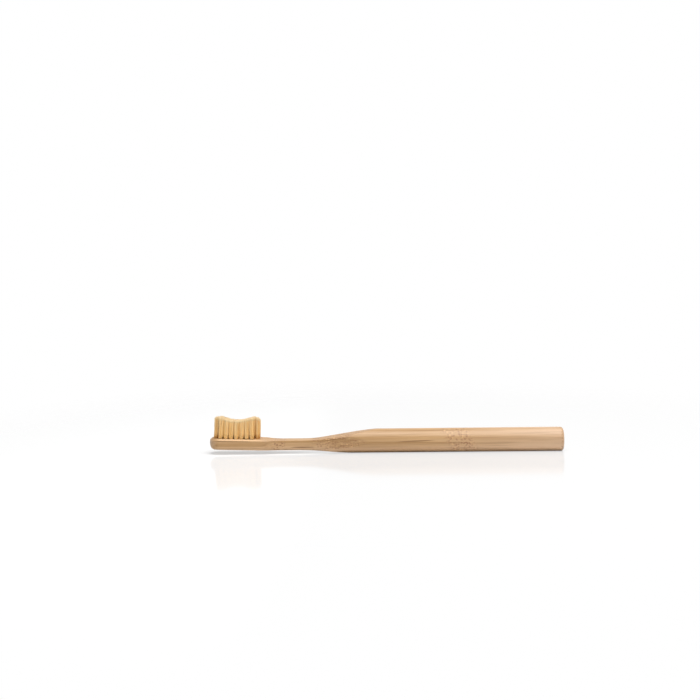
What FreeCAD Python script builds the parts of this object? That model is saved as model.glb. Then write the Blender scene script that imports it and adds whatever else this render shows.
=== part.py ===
import FreeCAD, Part
import math
import os

# A bamboo manual toothbrush, lying on its back with the bristles up. The handle is one stick, turned
# round at the grip and cut flat at the neck and the head. A narrow flat along the back of the grip
# keeps it from rolling. Each tuft of bristles is folded over a metal anchor and driven into a blind
# hole in the head.
# Millimetres, +Z up, +X from the head's tip to the butt, and the origin midway along, at table level.

# Handle, from the tip to the butt
overall_length = 180.0
grip_diameter = 12.3
back_flat_width = 4.0
butt_edge_radius = 1.6
head_length = 26.0
waist_length = 11.0
neck_length = 12.0
front_rise_length = 41.0
side_flare_length = 29.0
back_rise_length = 25.0
front_edge_hold = 11.0
grip_lead = 2.0

# Head and neck sections
head_width = 11.0
head_thickness = 5.7
head_back_edge_radius = 2.0
neck_width = 8.0
neck_thickness = 5.15
neck_back_height = 1.65
neck_back_edge_radius = 1.2
front_edge_radius = 0.7
head_cant_degrees = 1.5
cant_settle_length = 15.0
heel_lead = 2.0

# Tuft holes
hole_diameter = 2.0
hole_floor = 1.3
drill_point_degrees = 118.0
column_pitch = 2.73
row_pitch = 2.4
toe_margin = 2.9
heel_margin = 1.1
side_margin = 1.7

# Tufts, measured along the bristles from the head's front face
toe_crest_length = 10.95
valley_length = 9.3
heel_crest_length = 10.9
toe_crest_from_tip = 5.2
valley_from_tip = 14.4
heel_crest_from_tip = 23.0
trim_crest_radius = 8.0
tuft_flare = 0.12
fold_edge_radius = 0.5
fold_gap = 0.1
tuft_clearance = 0.02

# Anchors, small flat plates that hold the folded bristles down
anchor_bite = 0.15
anchor_thickness = 0.3
anchor_height = 1.4
anchor_clearance = 0.02
anchor_turn_degrees = 35.0
fold_thickness = 1.0

# Shape of the ramps and of the lofted neck
ramp_blend_share = 0.22
round_edge_degrees = 22.5
neck_stations = 18
cut_overrun = 1.0
straight_tolerance_share = 0.0005

# Places along the handle
tip_x = -overall_length / 2
butt_x = overall_length / 2
grip_radius = grip_diameter / 2
axis_height = math.sqrt(grip_radius ** 2 - (back_flat_width / 2) ** 2)
grip_top = axis_height + grip_radius
flat_depth = grip_radius - axis_height
heel_x = tip_x + head_length
neck_x = heel_x + waist_length
shoulder_x = neck_x + neck_length
round_x = shoulder_x + max(front_rise_length, side_flare_length, back_rise_length)
grip_x = round_x + grip_lead
cant_slope = math.tan(math.radians(head_cant_degrees))
heel_back = neck_back_height + cant_slope * cant_settle_length / 2
heel_front = heel_back + head_thickness
heel_pivot = FreeCAD.Vector(heel_x, 0, heel_back)
across = FreeCAD.Vector(0, 1, 0)
along = FreeCAD.Vector(1, 0, 0)
up = FreeCAD.Vector(0, 0, 1)


def mix(first, second, amount):
    """The value that lies `amount` of the way from the first to the second."""
    return first + (second - first) * amount


def ramp(x, start, length):
    """0 before the start and 1 past the end, straight between, with a parabola at each end."""
    t = min(max((x - start) / length, 0), 1)
    blend = ramp_blend_share
    steepness = 1 / (1 - blend)
    if t < blend:
        return steepness * t * t / (2 * blend)
    if t > 1 - blend:
        return 1 - steepness * (1 - t) ** 2 / (2 * blend)
    return steepness * (t - blend / 2)


def half_width(x):
    """Half of the stick's width: the head, the narrower neck, then the full round of the grip."""
    waist = mix(head_width, neck_width, ramp(x, heel_x, waist_length))
    return mix(waist, grip_diameter, ramp(x, shoulder_x, side_flare_length)) / 2


def neck_back(x):
    """Height of the head's and neck's back, where the canted head runs out level."""
    left = min(max(1 - (x - heel_x) / cant_settle_length, 0), 1)
    return neck_back_height + (heel_back - neck_back_height) * left ** 2


def back(x):
    """Height of the stick's back before the flat is planed on it."""
    return mix(neck_back(x), -flat_depth, ramp(x, shoulder_x, back_rise_length))


def front(x):
    thickness = mix(head_thickness, neck_thickness, ramp(x, heel_x, waist_length))
    rise = ramp(x, shoulder_x, front_rise_length)
    return mix(neck_back(x) + thickness, grip_top, rise)


def corner(width, rise, radius, roundness):
    """Three (y, z) points of a corner, from the flat to the side: softened by the radius at roundness
    0, and on an ellipse of that width and rise at roundness 1."""
    inset = radius * (1 - math.sqrt(1 / 2))
    soft = [(width - radius, rise), (width - inset, rise - inset), (width, rise - radius)]
    turns = [math.radians(degrees) for degrees in (round_edge_degrees, 45, 90 - round_edge_degrees)]
    full = [(width * math.sin(turn), rise * math.cos(turn)) for turn in turns]
    return [(mix(a[0], b[0], roundness), mix(a[1], b[1], roundness)) for a, b in zip(soft, full)]


def right_half(x):
    """(y, z) points of the stick's section on the +Y side, from the top middle round to the bottom."""
    width = half_width(x)
    top = front(x)
    bottom = back(x)
    middle = (top + bottom) / 2
    rise = top - middle
    front_round = ramp(x, shoulder_x + front_edge_hold, front_rise_length - front_edge_hold)
    back_round = ramp(x, shoulder_x, back_rise_length)
    back_radius = mix(head_back_edge_radius, neck_back_edge_radius, ramp(x, heel_x, waist_length))
    upper = corner(width, rise, front_edge_radius, front_round)
    lower = corner(width, rise, back_radius, back_round)
    return (
        [(0, top)]
        + [(y, middle + z) for y, z in upper]
        + [(width, middle)]
        + [(y, middle - z) for y, z in reversed(lower)]
        + [(0, bottom)]
    )


def edge_through(start, middle, end):
    """An arc through three points, or a straight edge where they lie in line."""
    chord = end - start
    bulge = (middle - start).cross(chord).Length / chord.Length
    if bulge < straight_tolerance_share * chord.Length:
        return Part.makeLine(start, end)
    return Part.Arc(start, middle, end).toShape()


def section(x):
    """The closed outline of the stick at a distance along it, as eight edges."""
    right = [FreeCAD.Vector(x, y, z) for y, z in right_half(x)]
    left = [FreeCAD.Vector(x, -point.y, point.z) for point in right]
    top, top_flat, top_corner, top_side, side, low_side, low_corner, low_flat, low = right
    edges = [
        edge_through(left[1], top, top_flat),
        edge_through(top_flat, top_corner, top_side),
        edge_through(top_side, side, low_side),
        edge_through(low_side, low_corner, low_flat),
        edge_through(low_flat, low, left[7]),
        edge_through(left[7], left[6], left[5]),
        edge_through(left[5], left[4], left[3]),
        edge_through(left[3], left[2], left[1]),
    ]
    return Part.Wire(edges)


def canted(shape):
    """The shape turned with the head, whose tip is raised about its heel."""
    turned = shape.copy()
    turned.rotate(heel_pivot, across, head_cant_degrees)
    return turned


def head_blank():
    """The head before drilling, lying level: straight sides and a round tip."""
    centre_x = tip_x + head_width / 2
    end_x = heel_x - heel_lead
    straight = Part.Face(section(centre_x)).extrude(along * (end_x - centre_x))
    points = [FreeCAD.Vector(centre_x, y, z) for y, z in right_half(centre_x)]
    top, top_flat, top_corner, top_side, side, low_side, low_corner, low_flat, low = points
    outline = Part.Wire([
        Part.makeLine(top, top_flat),
        Part.Arc(top_flat, top_corner, top_side).toShape(),
        Part.makeLine(top_side, low_side),
        Part.Arc(low_side, low_corner, low_flat).toShape(),
        Part.makeLine(low_flat, low),
        Part.makeLine(low, top),
    ])
    round_tip = Part.Face(outline).revolve(top, up, 180)
    return straight.fuse(round_tip).removeSplitter()


def drill_point_height():
    return hole_diameter / 2 / math.tan(math.radians(drill_point_degrees / 2))


def hole_depth():
    return head_thickness - hole_floor - drill_point_height()


def anchor_foot():
    """How deep the anchors' lower edges lie under the head's front face."""
    return hole_depth() - fold_gap - fold_thickness


def plate(length, thickness, bottom, top):
    """An upright plate centred on the Z axis, turned as the anchors are."""
    corner_point = FreeCAD.Vector(-length / 2, -thickness / 2, bottom)
    box = Part.makeBox(length, thickness, top - bottom, corner_point)
    box.rotate(FreeCAD.Vector(0, 0, 0), up, anchor_turn_degrees)
    return box


def anchor():
    """One anchor at the origin, with the head's front face at zero height."""
    width = hole_diameter + 2 * anchor_bite
    return plate(width, anchor_thickness, -anchor_foot(), anchor_height - anchor_foot())


def hole():
    """One blind hole with its drill point, and the two slits that the anchor bites into its wall."""
    radius = hole_diameter / 2
    depth = hole_depth()
    bore = Part.makeCylinder(radius, depth + cut_overrun, FreeCAD.Vector(0, 0, -depth))
    point = Part.makeCone(radius, 0, drill_point_height(), FreeCAD.Vector(0, 0, -depth), -up)
    slit_length = hole_diameter + 2 * (anchor_bite + anchor_clearance)
    slit_thickness = anchor_thickness + 2 * anchor_clearance
    slit = plate(slit_length, slit_thickness, -anchor_foot() - anchor_clearance, cut_overrun)
    return bore.fuse([point, slit])


def uncut_tuft():
    """One tuft at the origin, folded at the bottom, flared at the top and not yet trimmed."""
    root = hole_diameter / 2 - tuft_clearance
    longest = max(toe_crest_length, heel_crest_length) + cut_overrun
    bottom = fold_gap - hole_depth()
    diagonal = math.sqrt(1 / 2)
    inset = fold_edge_radius * (1 - diagonal)
    flat_end = FreeCAD.Vector(root - fold_edge_radius, 0, bottom)
    fold = FreeCAD.Vector(root - inset, 0, bottom + inset)
    side_start = FreeCAD.Vector(root, 0, bottom + fold_edge_radius)
    mouth = FreeCAD.Vector(root, 0, 0)
    rim = FreeCAD.Vector(root + tuft_flare, 0, longest)
    top = FreeCAD.Vector(0, 0, longest)
    axis_foot = FreeCAD.Vector(0, 0, bottom)
    outline = Part.Wire([
        Part.makeLine(axis_foot, flat_end),
        Part.Arc(flat_end, fold, side_start).toShape(),
        Part.makeLine(side_start, mouth),
        Part.makeLine(mouth, rim),
        Part.makeLine(rim, top),
        Part.makeLine(top, axis_foot),
    ])
    bundle = Part.Face(outline).revolve(FreeCAD.Vector(0, 0, 0), up, 360)
    slot_length = hole_diameter + 2 * (anchor_bite + anchor_clearance)
    slot_thickness = anchor_thickness + 2 * anchor_clearance
    slot_bottom = -anchor_foot() - anchor_clearance
    slot_top = anchor_height - anchor_foot() + anchor_clearance
    return bundle.cut(plate(slot_length, slot_thickness, slot_bottom, slot_top))


def half_wave(crest, valley):
    """Two arcs that leave the crest level and arrive in the valley level."""
    run = valley.x - crest.x
    drop = crest.z - valley.z
    radius = (run * run + drop * drop) / (4 * drop)
    half_turn = math.atan2(drop, abs(run))
    reach = math.copysign(radius * math.sin(half_turn), run)
    sag = radius * (1 - math.cos(half_turn))
    middle = (crest + valley) / 2
    over = FreeCAD.Vector(crest.x + reach, 0, crest.z - sag)
    under = FreeCAD.Vector(valley.x - reach, 0, valley.z + sag)
    return [Part.Arc(crest, over, middle).toShape(), Part.Arc(middle, under, valley).toShape()]


def shoulder_off(crest, run):
    """The arc from a crest down to the end of the trim, and that end."""
    def place(reach):
        sag = trim_crest_radius - math.sqrt(trim_crest_radius ** 2 - reach ** 2)
        return FreeCAD.Vector(crest.x + reach, 0, crest.z - sag)

    end = place(run)
    return Part.Arc(crest, place(run / 2), end).toShape(), end


def trimmed_off():
    """What lies above the wavy trim: a valley across the middle and a rounded crest at each end."""
    def crest_point(from_tip, length):
        return FreeCAD.Vector(tip_x + from_tip, 0, heel_front + length)

    toe = crest_point(toe_crest_from_tip, toe_crest_length)
    valley = crest_point(valley_from_tip, valley_length)
    heel = crest_point(heel_crest_from_tip, heel_crest_length)
    toe_arc, toe_end = shoulder_off(toe, -toe_crest_from_tip)
    heel_arc, heel_end = shoulder_off(heel, head_length - heel_crest_from_tip)
    ceiling = max(toe.z, heel.z) + 2 * cut_overrun
    toe_top = FreeCAD.Vector(toe_end.x, 0, ceiling)
    heel_top = FreeCAD.Vector(heel_end.x, 0, ceiling)
    edges = [toe_arc, heel_arc]
    edges += half_wave(toe, valley) + half_wave(heel, valley)
    corners = [toe_end, toe_top, heel_top, heel_end]
    edges += [Part.makeLine(start, end) for start, end in zip(corners, corners[1:])]
    outline = Part.Wire(Part.__sortEdges__(edges))
    slab = Part.Face(outline).extrude(across * (2 * head_width))
    slab.translate(across * -head_width)
    return slab


def tuft_places():
    """(row, column, place) of every tuft, with the four corners of the field left empty."""
    columns = 1 + int((head_length - toe_margin - heel_margin) / column_pitch)
    rows = 1 + int((head_width - 2 * side_margin) / row_pitch)
    for row in range(rows):
        for column in range(columns):
            if row in (0, rows - 1) and column in (0, columns - 1):
                continue
            x = tip_x + toe_margin + column * column_pitch
            y = (row - (rows - 1) / 2) * row_pitch
            yield row + 1, column + 1, FreeCAD.Vector(x, y, heel_front)


def moved(shape, place):
    copy = shape.copy()
    copy.translate(place)
    return copy


def neck():
    """The lofted middle of the stick: waist, neck and shoulder, from the canted head to the grip."""
    sections = [canted(section(heel_x - heel_lead)), canted(section(heel_x))]
    step = (round_x - heel_x) / neck_stations
    sections += [section(heel_x + step * station) for station in range(1, neck_stations + 1)]
    sections.append(section(grip_x))
    return Part.makeLoft(sections, True, False)


def grip():
    """The plain round grip, with a rounded rim at the butt."""
    inset = butt_edge_radius * (1 - math.sqrt(1 / 2))
    start = FreeCAD.Vector(grip_x, 0, axis_height)
    start_rim = FreeCAD.Vector(grip_x, 0, grip_top)
    rim_start = FreeCAD.Vector(butt_x - butt_edge_radius, 0, grip_top)
    rim = FreeCAD.Vector(butt_x - inset, 0, grip_top - inset)
    rim_end = FreeCAD.Vector(butt_x, 0, grip_top - butt_edge_radius)
    end = FreeCAD.Vector(butt_x, 0, axis_height)
    outline = Part.Wire([
        Part.makeLine(start, start_rim),
        Part.makeLine(start_rim, rim_start),
        Part.Arc(rim_start, rim, rim_end).toShape(),
        Part.makeLine(rim_end, end),
        Part.makeLine(end, start),
    ])
    return Part.Face(outline).revolve(start, along, 360)


def planed_off():
    """What the plane takes off the back, from the shoulder to the butt, to leave the narrow flat."""
    corner_point = FreeCAD.Vector(shoulder_x, -grip_radius, -grip_radius)
    return Part.makeBox(butt_x - shoulder_x + cut_overrun, grip_diameter, grip_radius, corner_point)


def handle():
    """The whole stick in one piece, with a hole drilled for each tuft."""
    stick = canted(head_blank()).fuse([neck(), grip()]).removeSplitter()
    one_hole = hole()
    holes = [canted(moved(one_hole, place)) for row, column, place in tuft_places()]
    return stick.cut([planed_off()] + holes)


def write(name, shape):
    shape.exportStep(os.path.join("parts", name + ".step"))
    print(name, "solids", len(shape.Solids), "valid", shape.isValid(), "volume", round(shape.Volume, 3))


def main():
    os.makedirs("parts", exist_ok=True)
    write("handle", handle().Solids[0])
    bundle = uncut_tuft()
    waste = trimmed_off()
    one_anchor = anchor()
    anchors = []
    for row, column, place in tuft_places():
        tuft = canted(moved(bundle, place).cut(waste))
        write(f"tuft_row_{row}_column_{column}", tuft.Solids[0])
        anchors.append(canted(moved(one_anchor, place)))
    write("tuft_anchors", Part.makeCompound(anchors))


main()
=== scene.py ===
import math
from functools import partial

import bpy
from bpy.props import FloatProperty, FloatVectorProperty, IntProperty, PointerProperty
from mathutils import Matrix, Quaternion, Vector


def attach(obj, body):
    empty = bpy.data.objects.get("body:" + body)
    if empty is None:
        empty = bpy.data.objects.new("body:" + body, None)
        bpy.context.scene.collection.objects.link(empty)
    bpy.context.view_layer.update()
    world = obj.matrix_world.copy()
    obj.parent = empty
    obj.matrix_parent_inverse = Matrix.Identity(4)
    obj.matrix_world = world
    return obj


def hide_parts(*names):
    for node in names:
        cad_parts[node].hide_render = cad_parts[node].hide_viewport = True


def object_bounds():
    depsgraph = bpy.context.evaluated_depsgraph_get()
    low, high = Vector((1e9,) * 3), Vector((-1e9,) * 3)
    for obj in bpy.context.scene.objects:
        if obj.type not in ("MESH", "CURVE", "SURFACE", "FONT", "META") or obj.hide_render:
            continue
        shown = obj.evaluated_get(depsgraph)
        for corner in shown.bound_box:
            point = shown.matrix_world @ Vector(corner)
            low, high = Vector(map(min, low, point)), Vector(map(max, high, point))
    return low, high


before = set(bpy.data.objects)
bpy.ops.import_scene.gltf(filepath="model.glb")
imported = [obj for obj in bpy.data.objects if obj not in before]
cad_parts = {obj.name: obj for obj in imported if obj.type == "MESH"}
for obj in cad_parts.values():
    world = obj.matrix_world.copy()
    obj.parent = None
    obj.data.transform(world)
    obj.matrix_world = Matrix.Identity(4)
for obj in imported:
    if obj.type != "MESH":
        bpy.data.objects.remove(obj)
cad_low, cad_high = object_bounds()

bl_info = {
    "name": "Bamboo toothbrush",
    "version": (1, 0, 0),
    "blender": (4, 5, 0),
    "location": "3D View > Sidebar > Toothbrush",
    "description": "Dresses the packed toothbrush: bamboo handle, nylon bristles, brass anchors and stage",
    "category": "Object",
}

# Everything is in metres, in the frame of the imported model: +X from the head's tip to the butt, +Z up.
MM = 0.001
FULL_TURN = 2 * math.pi

# The turn from each bristle of a sunflower spiral to the next
GOLDEN_TURN = math.pi * (3 - math.sqrt(5))

# The head's tip in the drawing, from which the tufts are set out
HEAD_TIP = -90.0 * MM


def linear(hex_colour):
    """The linear RGB of an sRGB colour written as #rrggbb."""
    shares = [int(hex_colour[place:place + 2], 16) / 255 for place in (1, 3, 5)]
    return [s / 12.92 if s <= 0.04045 else ((s + 0.055) / 1.055) ** 2.4 for s in shares]


class HandleSizes(bpy.types.PropertyGroup):
    """Sizes of the bamboo stick. Places along it are measured from the tip of the head."""

    overall_length: FloatProperty(
        name="Overall length", description="From the tip of the head to the butt",
        default=cad_high.x - cad_low.x, min=0.1, subtype="DISTANCE")
    grip_diameter: FloatProperty(
        name="Grip diameter", description="Thickness of the round grip",
        default=12.3 * MM, min=6 * MM, subtype="DISTANCE")
    flat_width: FloatProperty(
        name="Back flat width", description="Width of the flat planed along the back of the grip",
        default=4.0 * MM, min=0.0, subtype="DISTANCE")
    rim_radius: FloatProperty(
        name="Butt rim radius", description="Rounding of the butt's rim",
        default=1.6 * MM, min=0.1 * MM, subtype="DISTANCE")
    head_length: FloatProperty(
        name="Head length", description="From the tip to the heel, where the waist starts",
        default=26.0 * MM, min=10 * MM, subtype="DISTANCE")
    head_width: FloatProperty(
        name="Head width", description="Width of the head, and diameter of its round tip",
        default=11.0 * MM, min=5 * MM, subtype="DISTANCE")
    head_thickness: FloatProperty(
        name="Head thickness", description="From the head's back to the face that carries the tufts",
        default=5.7 * MM, min=2 * MM, subtype="DISTANCE")
    head_cant: FloatProperty(
        name="Head cant", description="How far the head tips up from the neck",
        default=math.radians(1.5), subtype="ANGLE")
    cant_settle: FloatProperty(
        name="Cant settle length", description="Length over which the head's cant runs out along the neck",
        default=15.0 * MM, min=1 * MM, subtype="DISTANCE")
    waist_length: FloatProperty(
        name="Waist length", description="Length over which the head narrows to the neck",
        default=11.0 * MM, min=1 * MM, subtype="DISTANCE")
    neck_width: FloatProperty(
        name="Neck width", description="Width of the neck at its narrowest",
        default=8.0 * MM, min=3 * MM, subtype="DISTANCE")
    neck_thickness: FloatProperty(
        name="Neck thickness", description="Thickness of the neck, front to back",
        default=5.15 * MM, min=2 * MM, subtype="DISTANCE")
    neck_height: FloatProperty(
        name="Neck height", description="Height of the neck's back over the floor",
        default=1.65 * MM, min=0.0, subtype="DISTANCE")
    front_cut_start: FloatProperty(
        name="Front cut start", description="Where the slanting front cut leaves the neck",
        default=53.5 * MM, subtype="DISTANCE")
    front_cut_end: FloatProperty(
        name="Front cut end", description="Where the front cut runs out on top of the grip",
        default=85.5 * MM, subtype="DISTANCE")
    side_cut_start: FloatProperty(
        name="Side cut start", description="Where the slanting side cuts leave the neck",
        default=52.2 * MM, subtype="DISTANCE")
    side_cut_end: FloatProperty(
        name="Side cut end", description="Where the side cuts run out on the grip",
        default=81.0 * MM, subtype="DISTANCE")
    back_cut_start: FloatProperty(
        name="Back cut start", description="Where the slanting back cut leaves the neck",
        default=53.0 * MM, subtype="DISTANCE")
    back_cut_end: FloatProperty(
        name="Back cut end", description="Where the back cut reaches the floor",
        default=72.5 * MM, subtype="DISTANCE")
    face_bevel: FloatProperty(
        name="Face bevel", description="Width of the bevel round the head's face",
        default=0.85 * MM, min=0.0, subtype="DISTANCE")
    neck_bevel: FloatProperty(
        name="Neck bevel", description="Width of the bevel along the front of the neck",
        default=0.25 * MM, min=0.0, subtype="DISTANCE")
    shoulder_bevel: FloatProperty(
        name="Shoulder bevel", description="How much wider the bevel is at the end of the front cut",
        default=1.5 * MM, min=0.0, subtype="DISTANCE")
    front_softness: FloatProperty(
        name="Front edge softness", description="Reach of the sanding on the edges of the front",
        default=0.6 * MM, min=0.1 * MM, subtype="DISTANCE")
    back_softness: FloatProperty(
        name="Back edge softness", description="Reach of the sanding on the edges of the back",
        default=3.6 * MM, min=0.1 * MM, subtype="DISTANCE")


class BristleSizes(bpy.types.PropertyGroup):
    """Sizes of the tuft field and of the bristles. Lengths run along the bristles from the head's face."""

    columns: IntProperty(
        name="Columns", description="Tufts along the head", default=9, min=3)
    rows: IntProperty(
        name="Rows", description="Tufts across the head", default=4, min=2)
    column_pitch: FloatProperty(
        name="Column pitch", description="Distance between tufts along the head",
        default=2.73 * MM, min=1 * MM, subtype="DISTANCE")
    row_pitch: FloatProperty(
        name="Row pitch", description="Distance between tufts across the head",
        default=2.4 * MM, min=1 * MM, subtype="DISTANCE")
    toe_margin: FloatProperty(
        name="Toe margin", description="From the head's tip to the first tuft",
        default=2.9 * MM, min=1 * MM, subtype="DISTANCE")
    hole_diameter: FloatProperty(
        name="Hole diameter", description="Diameter of a tuft's hole, which the tuft fills",
        default=2.0 * MM, min=0.5 * MM, subtype="DISTANCE")
    hole_depth: FloatProperty(
        name="Hole depth", description="Depth of a tuft's hole",
        default=3.8 * MM, min=0.5 * MM, subtype="DISTANCE")
    root_depth: FloatProperty(
        name="Root depth", description="How deep in the hole the shown part of a bristle starts",
        default=0.9 * MM, min=0.1 * MM, subtype="DISTANCE")
    crest_length: FloatProperty(
        name="Crest length", description="Length of the bristles at the two crests of the trim",
        default=10.88 * MM, min=2 * MM, subtype="DISTANCE")
    valley_length: FloatProperty(
        name="Valley length", description="Length of the bristles in the valley of the trim",
        default=9.25 * MM, min=2 * MM, subtype="DISTANCE")
    toe_crest: FloatProperty(
        name="Toe crest", description="From the head's tip to the first crest of the trim",
        default=4.6 * MM, subtype="DISTANCE")
    heel_crest: FloatProperty(
        name="Heel crest", description="From the head's tip to the second crest of the trim",
        default=23.0 * MM, subtype="DISTANCE")
    toe_shoulder: FloatProperty(
        name="Toe shoulder", description="From the head's tip to where the trim rounds off at the toe",
        default=4.0 * MM, subtype="DISTANCE")
    heel_shoulder: FloatProperty(
        name="Heel shoulder", description="From the head's tip to where the trim rounds off at the heel",
        default=23.4 * MM, subtype="DISTANCE")
    shoulder_radius: FloatProperty(
        name="Shoulder radius", description="Rounding of the trim past its shoulders",
        default=2.8 * MM, min=0.5 * MM, subtype="DISTANCE")
    filaments: IntProperty(
        name="Filaments", description="Bristles shown in each tuft", default=68, min=6, max=70)
    filament_diameter: FloatProperty(
        name="Filament diameter", description="Thickness of one bristle",
        default=0.27 * MM, min=0.05 * MM, subtype="DISTANCE")
    flare: FloatProperty(
        name="Flare", description="How far a tuft's outer bristles splay at the top",
        default=0.6 * MM, min=0.0, subtype="DISTANCE")
    lean: FloatProperty(
        name="Lean", description="How far the bristles lean towards the heel at the top",
        default=0.3 * MM, subtype="DISTANCE")
    sway: FloatProperty(
        name="Sway", description="How far a single bristle strays at the top",
        default=0.22 * MM, min=0.0, subtype="DISTANCE")
    unevenness: FloatProperty(
        name="Trim unevenness", description="How much shorter than the trim a bristle may be",
        default=0.22 * MM, min=0.0, subtype="DISTANCE")
    seed: IntProperty(
        name="Seed", description="Start of the random draws for the bristles", default=11)


class BrushColours(bpy.types.PropertyGroup):
    """Colours of the brush and its floor."""

    bamboo_pale: FloatVectorProperty(
        name="Pale bamboo", description="Soft tissue between the fibres",
        default=linear("#C9A275"), min=0.0, max=1.0, subtype="COLOR")
    bamboo_honey: FloatVectorProperty(
        name="Honey bamboo", description="Broad warm streaks along the grain",
        default=linear("#AC8350"), min=0.0, max=1.0, subtype="COLOR")
    # Used for the fibre, at the cuts and for the dark streaks, one of which is partly and one wholly
    # painted shade
    bamboo_fibre_and_shade: FloatVectorProperty(
        name="Bamboo fibre", description="Thin brown bundles of fibre",
        default=linear("#7E5930"), min=0.0, max=1.0, subtype="COLOR")
    # Used towards the butt, where the stick faces the tip or the butt, and as painted light low on the
    # stick
    bamboo_blush_and_floor_light: FloatVectorProperty(
        name="Bamboo blush", description="Pinkish bamboo towards the butt, on the back and on end grain",
        default=linear("#D0AE8D"), min=0.0, max=1.0, subtype="COLOR")
    # Used for the pale flecks, and as a painted highlight along the bevel of the head's face
    bamboo_fleck_and_highlight: FloatVectorProperty(
        name="Bleached bamboo", description="Freshly sanded bevel along the head's face, and pale flecks",
        default=linear("#E0B684"), min=0.0, max=1.0, subtype="COLOR")
    bamboo_fleck: FloatVectorProperty(
        name="Bamboo fleck", description="Cut ends of the fibre bundles",
        default=linear("#875534"), min=0.0, max=1.0, subtype="COLOR")
    # Used for the bristles' own lighter tone, and as painted light on their upper parts
    nylon_pale_and_lit: FloatVectorProperty(
        name="Pale nylon", description="The palest bristles",
        default=linear("#FFE7B7"), min=0.0, max=1.0, subtype="COLOR")
    nylon_gold: FloatVectorProperty(
        name="Golden nylon", description="The deepest coloured bristles",
        default=linear("#FDC872"), min=0.0, max=1.0, subtype="COLOR")
    nylon_tip: FloatVectorProperty(
        name="Nylon tip", description="The rounded tips, duller because light sinks into them",
        default=linear("#EBD3A9"), min=0.0, max=1.0, subtype="COLOR")
    brass: FloatVectorProperty(
        name="Brass", description="The anchors' rolled strip",
        default=linear("#D8B45C"), min=0.0, max=1.0, subtype="COLOR")
    floor: FloatVectorProperty(
        name="Floor", description="The pale floor under the brush",
        default=linear("#FAFAFA"), min=0.0, max=1.0, subtype="COLOR")


# Inputs that only their numbers tell apart: a colour mix's share and its two colours, and the two ends
# of a random vector and of a random number
SHARE, UNDER, OVER = 0, 6, 7
VECTOR_FROM, VECTOR_TO = 0, 1
NUMBER_FROM, NUMBER_TO = 2, 3


def add_node(tree, kind, feeds=(), **settings):
    """Adds one node with its settings and feeds its inputs, in order or by name or number.

    A feed is a node, whose first live output is used, a socket or a plain value.
    """
    node = tree.nodes.new(kind)
    for setting, value in settings.items():
        setattr(node, setting, value)
    pairs = feeds.items() if isinstance(feeds, dict) else enumerate(feeds)
    for key, feed in pairs:
        if isinstance(feed, bpy.types.Node):
            feed = next(socket for socket in feed.outputs if socket.enabled)
        if isinstance(feed, bpy.types.NodeSocket):
            tree.links.new(feed, node.inputs[key])
        else:
            node.inputs[key].default_value = feed
    return node


def new_tree(name, sizes):
    """An empty Geometry Nodes tree with a named input for each size, the call that adds a node to it, and
    the sockets of its inputs."""
    tree = bpy.data.node_groups.new(name, "GeometryNodeTree")
    tree.interface.new_socket("Geometry", in_out="OUTPUT", socket_type="NodeSocketGeometry")
    for label, value in sizes.items():
        kind = "NodeSocketInt" if isinstance(value, int) else "NodeSocketFloat"
        socket = tree.interface.new_socket(label, in_out="INPUT", socket_type=kind)
        socket.default_value = value
    add = partial(add_node, tree)
    return tree, add, add("NodeGroupInput").outputs


def shaped(name, tree, sizes):
    """A piece whose plain mesh is what the tree makes of these sizes."""
    piece = bpy.data.objects.new(name, bpy.data.meshes.new(name + ".empty"))
    bpy.context.scene.collection.objects.link(piece)
    modifier = piece.modifiers.new("shape", "NODES")
    modifier.node_group = tree
    for item in tree.interface.items_tree:
        if item.in_out == "INPUT":
            modifier[item.identifier] = sizes[item.name]
    depsgraph = bpy.context.evaluated_depsgraph_get()
    made = piece.evaluated_get(depsgraph)
    mesh = bpy.data.meshes.new_from_object(made, preserve_all_data_layers=True, depsgraph=depsgraph)
    piece.modifiers.remove(modifier)
    empty = piece.data
    piece.data = mesh
    bpy.data.meshes.remove(empty)
    mesh.name = name
    if not mesh.polygons:
        raise RuntimeError(f"{name} came out with no faces")
    return piece


# The sizes that set out the tufts on the head, and how near a tuft must be to an edge to count as on it
FIELD_SIZES = ("columns", "rows", "column_pitch", "row_pitch")
EDGE_TOLERANCE = 0.1 * MM


def own_sizes(group, *labels):
    """These sizes of a group, under the names that the sidebar gives them."""
    return {group.bl_rna.properties[label].name: getattr(group, label) for label in labels}


def seat_sizes(handle, bristles):
    """The inputs that set out the tuft field and seat it on the canted head."""
    half_field = bristles.column_pitch * (bristles.columns - 1) / 2
    return {
        **own_sizes(bristles, *FIELD_SIZES),
        **own_sizes(handle, "head_thickness", "head_cant"),
        "Field from heel": bristles.toe_margin + half_field - handle.head_length,
        "Heel place": HEAD_TIP + handle.head_length,
        "Heel height": handle.neck_height + math.tan(handle.head_cant) * handle.cant_settle / 2,
    }


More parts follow.
